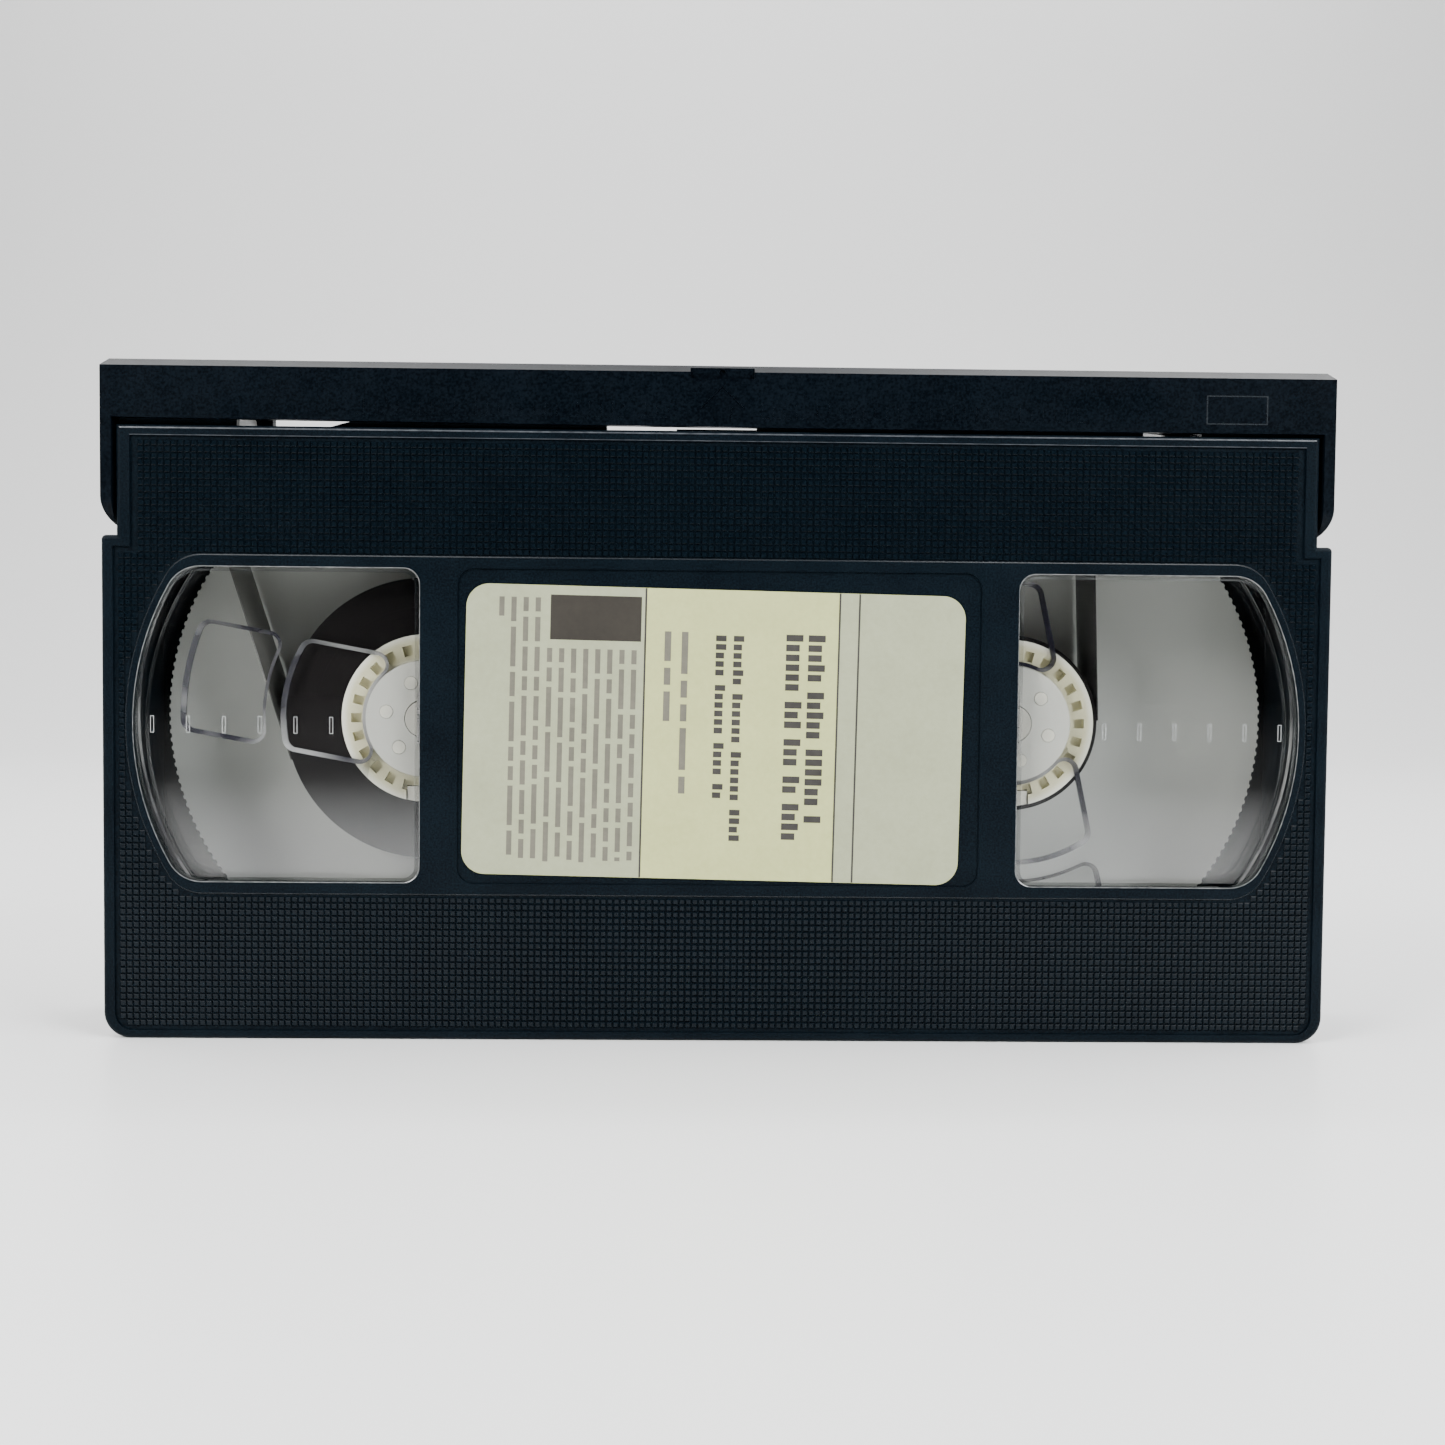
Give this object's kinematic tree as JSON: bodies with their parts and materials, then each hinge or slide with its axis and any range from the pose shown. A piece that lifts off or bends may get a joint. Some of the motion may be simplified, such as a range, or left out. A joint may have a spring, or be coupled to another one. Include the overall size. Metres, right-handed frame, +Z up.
{
  "type": "video cassette",
  "caption": "Half-inch video cassette standing on its spine, with a hinged lid, two tape reels behind clear windows, reel brakes and a tape path.",
  "frame": {"origin": "middle of the cassette's footprint, under the spine that it stands on", "axes": "+X along the width, towards the take-up reel; +Y from the window side to the drive side; +Z up, from the spine to the lid"},
  "size_m": [0.187, 0.025, 0.103],
  "materials": {
    "shell": "moulded black, fine texture",
    "lid": "moulded black, fine texture",
    "latch": "moulded black",
    "window": "clear polished plastic",
    "flange_clear": "clear polished plastic",
    "label": "matt printed paper",
    "reel_white": "moulded white",
    "tape": "dark brown coated film",
    "roller": "moulded white",
    "brake": "moulded white",
    "leaf": "satin film",
    "spring_steel": "bright spring steel",
    "polished_steel": "polished",
    "rivet": "plain",
    "screw": "zinc plated"
  },
  "bodies": {
    "root": {"upper_shell": "shell", "lower_shell": "shell", "left_window": "window", "right_window": "window", "face_label": "label", "lid_spring": "spring_steel", "latch_spring": "spring_steel", "tape_run": "tape", "roller_pin": "polished_steel", "takeup_guide": "polished_steel", "inner_guide_pin": "polished_steel", "slack_leaf": "leaf", "reel_spring": "spring_steel", "reel_spring_rivets": "rivet", "brake_spring": "spring_steel", "shell_screws": "screw"},
    "lid": {"front_lid": "lid"},
    "latch": {"lid_latch": "latch"},
    "supply_reel": {"supply_hub": "reel_white", "supply_clear_flange": "flange_clear", "supply_leader_clip": "reel_white", "supply_tape_pack": "tape"},
    "takeup_reel": {"takeup_hub": "reel_white", "takeup_clear_flange": "flange_clear", "takeup_leader_clip": "reel_white", "takeup_tape_pack": "tape"},
    "guide_roller": {"supply_guide_roller": "roller"},
    "release_lever": {"brake_release_lever": "brake"},
    "takeup_pawl": {"takeup_brake_pawl": "brake"},
    "supply_pawl": {"supply_brake_pawl": "brake"}
  },
  "joints": [
    {"name": "lid_hinge", "type": "hinge", "parent": "root", "child": "lid", "pos_m": [0, -0.008, 0.0824], "axis": [1, 0, 0], "range_deg": [0, 90], "stiffness_Nm_per_rad": 0.003, "springref_deg": -57.3, "deforming": ["lid_spring"]},
    {"name": "latch_pivot", "type": "hinge", "parent": "root", "child": "latch", "pos_m": [0.0902, 0, 0.0846], "axis": [0, -1, 0], "range_deg": [0, 6], "stiffness_Nm_per_rad": 0.0004, "springref_deg": -5.73, "deforming": ["latch_spring"]},
    {"name": "supply_reel_spin", "type": "hinge", "parent": "root", "child": "supply_reel", "pos_m": [-0.0455, 0, 0.049], "axis": [0, 1, 0], "continuous": true},
    {"name": "takeup_reel_spin", "type": "hinge", "parent": "root", "child": "takeup_reel", "pos_m": [0.0455, 0, 0.049], "axis": [0, 1, 0], "continuous": true},
    {"name": "guide_roller_spin", "type": "hinge", "parent": "root", "child": "guide_roller", "pos_m": [-0.079, 0, 0.0953], "axis": [0, 1, 0], "continuous": true},
    {"name": "brake_release", "type": "hinge", "parent": "root", "child": "release_lever", "pos_m": [0, 0.0094, 0.012], "axis": [1, 0, 0], "range_deg": [0, 15], "stiffness_Nm_per_rad": 0.0005, "springref_deg": -5.73, "deforming": ["brake_spring"]},
    {"name": "takeup_pawl_pivot", "type": "hinge", "parent": "root", "child": "takeup_pawl", "pos_m": [0.0055, 0, 0.024], "axis": [0, 1, 0], "range_deg": [0, 8]},
    {"name": "supply_pawl_pivot", "type": "hinge", "parent": "root", "child": "supply_pawl", "pos_m": [-0.0055, 0, 0.024], "axis": [0, -1, 0], "range_deg": [0, 8]}
  ],
  "couplings": [
    {"joint": "takeup_reel_spin", "follows": "supply_reel_spin", "ratio": 1.5912},
    {"joint": "guide_roller_spin", "follows": "supply_reel_spin", "ratio": 5.5897},
    {"joint": "takeup_pawl_pivot", "follows": "brake_release", "ratio": 0.5333},
    {"joint": "supply_pawl_pivot", "follows": "brake_release", "ratio": 0.5333}
  ]
}
